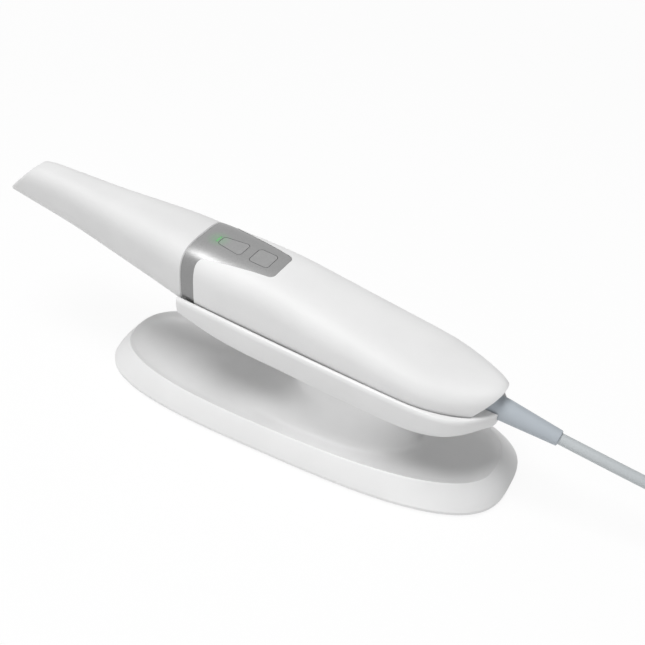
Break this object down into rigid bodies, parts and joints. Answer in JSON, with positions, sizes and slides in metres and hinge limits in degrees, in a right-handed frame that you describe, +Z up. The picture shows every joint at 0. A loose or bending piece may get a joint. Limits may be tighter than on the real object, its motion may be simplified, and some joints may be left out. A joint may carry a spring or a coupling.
{
  "type": "intraoral scanner on desk cradle",
  "caption": "Handheld intraoral scanner with removable mirror tip, silver control collar and USB lead, lying in a weighted pedestal desk cradle",
  "frame": {"origin": "middle of the base's underside, on the desk", "axes": "+X from the handpiece's tip towards its cable, +Z up; the near side in the picture is -Y"},
  "size_m": [0.4567, 0.1113, 0.0911],
  "materials": {
    "base_gloss": "white, gloss moulded",
    "shell_white": "white, satin gloss moulded",
    "sleeve_white": "white, satin, autoclavable",
    "collar_silver": "silver metallic paint, satin",
    "status_green": "translucent light guide",
    "barrel_black": "matt black against stray light",
    "seal_rubber": "silicone ring",
    "pad_rubber": "grey silicone",
    "optical_glass": "coated glass",
    "mirror_glass": "front-surface mirror",
    "lens_black": "black lens tube",
    "module_dark": "dark moulded housing",
    "chassis_alu": "milled, bead blasted",
    "board_green": "solder mask",
    "screw_steel": "zinc plated",
    "ballast_steel": "plain steel plate",
    "ballast_iron": "cast block",
    "relief_grey": "blue-grey elastomer, matt",
    "cable_grey": "pale grey jacket, matt",
    "plug_grey": "grey moulded grip",
    "plug_steel": "folded and plated",
    "plug_white": "white contact tongue"
  },
  "bodies": {
    "stand": {"base_shell": "base_gloss", "base_plate": "base_gloss", "ballast_plate": "ballast_steel", "ballast_block": "ballast_iron", "grip_pad": "pad_rubber", "base_screws": "screw_steel", "cradle_tray": "base_gloss", "front_rest_pad": "pad_rubber", "rear_rest_pad": "pad_rubber", "cradle_screws": "screw_steel", "upper_shell": "shell_white", "lower_shell": "shell_white", "control_collar": "collar_silver", "status_light": "status_green", "nose_barrel": "barrel_black", "barrel_seal": "seal_rubber", "nose_window": "optical_glass", "optics_chassis": "chassis_alu", "projector_module": "module_dark", "camera_module": "module_dark", "projector_lens": "lens_black", "camera_lens": "lens_black", "button_board": "board_green", "scan_switch": "module_dark", "mode_switch": "module_dark", "main_board": "board_green", "shell_screws": "screw_steel", "strain_relief": "relief_grey", "cable_clamp": "module_dark", "clamp_screws": "screw_steel", "cable": "cable_grey", "cable_tail": "cable_grey", "cable_coil": "cable_grey", "usb_plug_body": "plug_grey", "usb_plug_shell": "plug_steel", "usb_insulator": "plug_white"},
    "tip": {"tip_sleeve": "sleeve_white", "tip_mirror": "mirror_glass"},
    "scan_button": {"scan_button_cap": "collar_silver"},
    "mode_button": {"mode_button_cap": "collar_silver"}
  },
  "joints": [
    {"name": "tip_pull", "type": "slide", "parent": "stand", "child": "tip", "axis": [-0.9962, 0, 0.0872], "range_m": [0, 0.045]},
    {"name": "scan_press", "type": "slide", "parent": "stand", "child": "scan_button", "axis": [-0.0872, 0, -0.9962], "range_m": [0, 0.0004], "stiffness_N_per_m": 2000, "springref_m": -0.0003},
    {"name": "mode_press", "type": "slide", "parent": "stand", "child": "mode_button", "axis": [-0.0872, 0, -0.9962], "range_m": [0, 0.0004], "stiffness_N_per_m": 2000, "springref_m": -0.0003}
  ]
}
